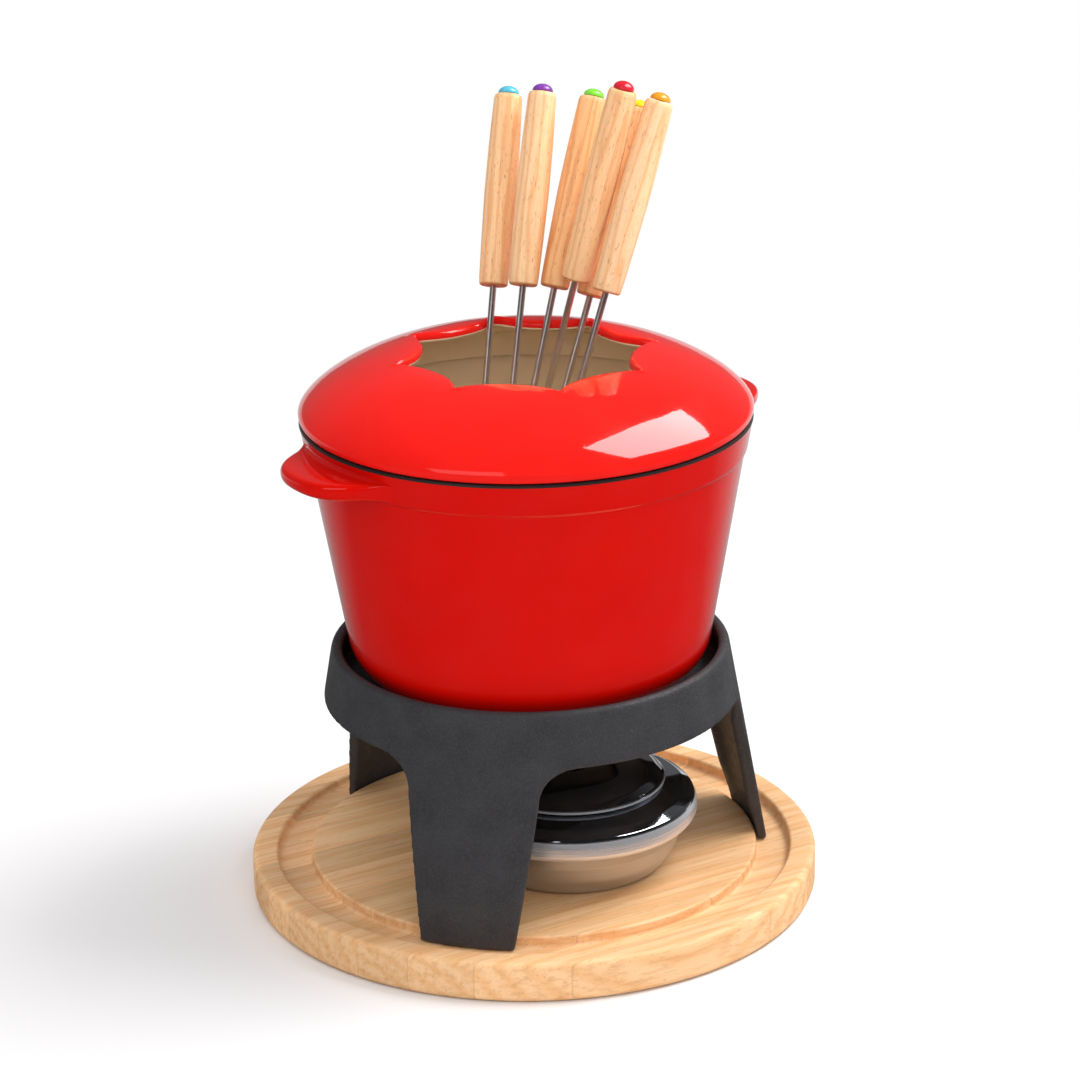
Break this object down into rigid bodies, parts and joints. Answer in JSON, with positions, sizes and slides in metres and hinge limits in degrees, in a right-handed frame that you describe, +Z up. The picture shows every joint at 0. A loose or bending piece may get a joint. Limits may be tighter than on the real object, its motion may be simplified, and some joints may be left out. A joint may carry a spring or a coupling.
{
  "type": "fondue pot set",
  "caption": "Enamelled fondue pot with a scalloped splash ring and forks, on a cast stand over a spirit burner and a grooved wooden board.",
  "frame": {"origin": "centre of the board's underside, on the table", "axes": "+Z up; the stand's front leg points to -Y; the pot's handles point to headings of 50 and 230 degrees from +X"},
  "size_m": [0.254, 0.254, 0.355],
  "materials": {
    "board_wood": "oiled rubberwood, glued staves",
    "cast_iron_black": "matt black, fine cast texture",
    "red_enamel": "gloss red enamel outside, cream enamel inside, bare dark rim",
    "red_enamel_lid": "gloss red enamel outside, cream enamel underneath",
    "burner_brushed": "turned brush marks",
    "burner_polished": "mirror polish",
    "cup_tin": "plain tinned sheet",
    "wadding": "pressed mineral wool",
    "gauze": "woven wire",
    "cap_polished": "mirror polish",
    "grip_wood": "turned rubberwood",
    "fork_steel": "drawn wire",
    "bead_cyan": "gloss",
    "bead_purple": "gloss",
    "bead_green": "gloss",
    "bead_red": "gloss",
    "bead_yellow": "gloss",
    "bead_orange": "gloss"
  },
  "bodies": {
    "board": {"board": "board_wood"},
    "stand": {"stand": "cast_iron_black"},
    "pot": {"pot": "red_enamel"},
    "lid": {"lid": "red_enamel_lid"},
    "burner": {"burner_bowl": "burner_brushed", "burner_shoulder": "burner_polished", "fuel_cup": "cup_tin", "fuel_wadding": "wadding", "wick_gauze": "gauze"},
    "snuffer": {"snuffer_cap": "cap_polished", "snuffer_knob": "cap_polished"},
    "fork_1": {"fork_1_handle": "grip_wood", "fork_1_rod": "fork_steel", "fork_1_bead": "bead_cyan"},
    "fork_2": {"fork_2_handle": "grip_wood", "fork_2_rod": "fork_steel", "fork_2_bead": "bead_purple"},
    "fork_3": {"fork_3_handle": "grip_wood", "fork_3_rod": "fork_steel", "fork_3_bead": "bead_green"},
    "fork_4": {"fork_4_handle": "grip_wood", "fork_4_rod": "fork_steel", "fork_4_bead": "bead_red"},
    "fork_5": {"fork_5_handle": "grip_wood", "fork_5_rod": "fork_steel", "fork_5_bead": "bead_yellow"},
    "fork_6": {"fork_6_handle": "grip_wood", "fork_6_rod": "fork_steel", "fork_6_bead": "bead_orange"}
  },
  "joints": [
    {"name": "stand_lift", "type": "slide", "parent": "board", "child": "stand", "axis": [0, 0, 1], "range_m": [0, 0.1]},
    {"name": "pot_lift", "type": "slide", "parent": "stand", "child": "pot", "axis": [0, 0, 1], "range_m": [0, 0.08]},
    {"name": "lid_lift", "type": "slide", "parent": "pot", "child": "lid", "axis": [0, 0, 1], "range_m": [0, 0.15]},
    {"name": "burner_slide", "type": "slide", "parent": "board", "child": "burner", "axis": [0.866, -0.5, 0], "range_m": [0, 0.16]},
    {"name": "snuffer_lift", "type": "slide", "parent": "burner", "child": "snuffer", "axis": [0, 0, 1], "range_m": [0, 0.01]},
    {"name": "fork_1_slide", "type": "slide", "parent": "lid", "child": "fork_1", "axis": [-0.0207, 0.4094, 0.9121], "range_m": [0, 0.16]},
    {"name": "fork_2_slide", "type": "slide", "parent": "lid", "child": "fork_2", "axis": [0.0107, 0.3825, 0.9239], "range_m": [0, 0.16]},
    {"name": "fork_3_slide", "type": "slide", "parent": "lid", "child": "fork_3", "axis": [0.1162, 0.3848, 0.9157], "range_m": [0, 0.16]},
    {"name": "fork_4_slide", "type": "slide", "parent": "lid", "child": "fork_4", "axis": [0.2224, 0.1512, 0.9632], "range_m": [0, 0.16]},
    {"name": "fork_5_slide", "type": "slide", "parent": "lid", "child": "fork_5", "axis": [0.1744, 0.3953, 0.9018], "range_m": [0, 0.16]},
    {"name": "fork_6_slide", "type": "slide", "parent": "lid", "child": "fork_6", "axis": [0.2103, 0.3061, 0.9285], "range_m": [0, 0.16]}
  ]
}
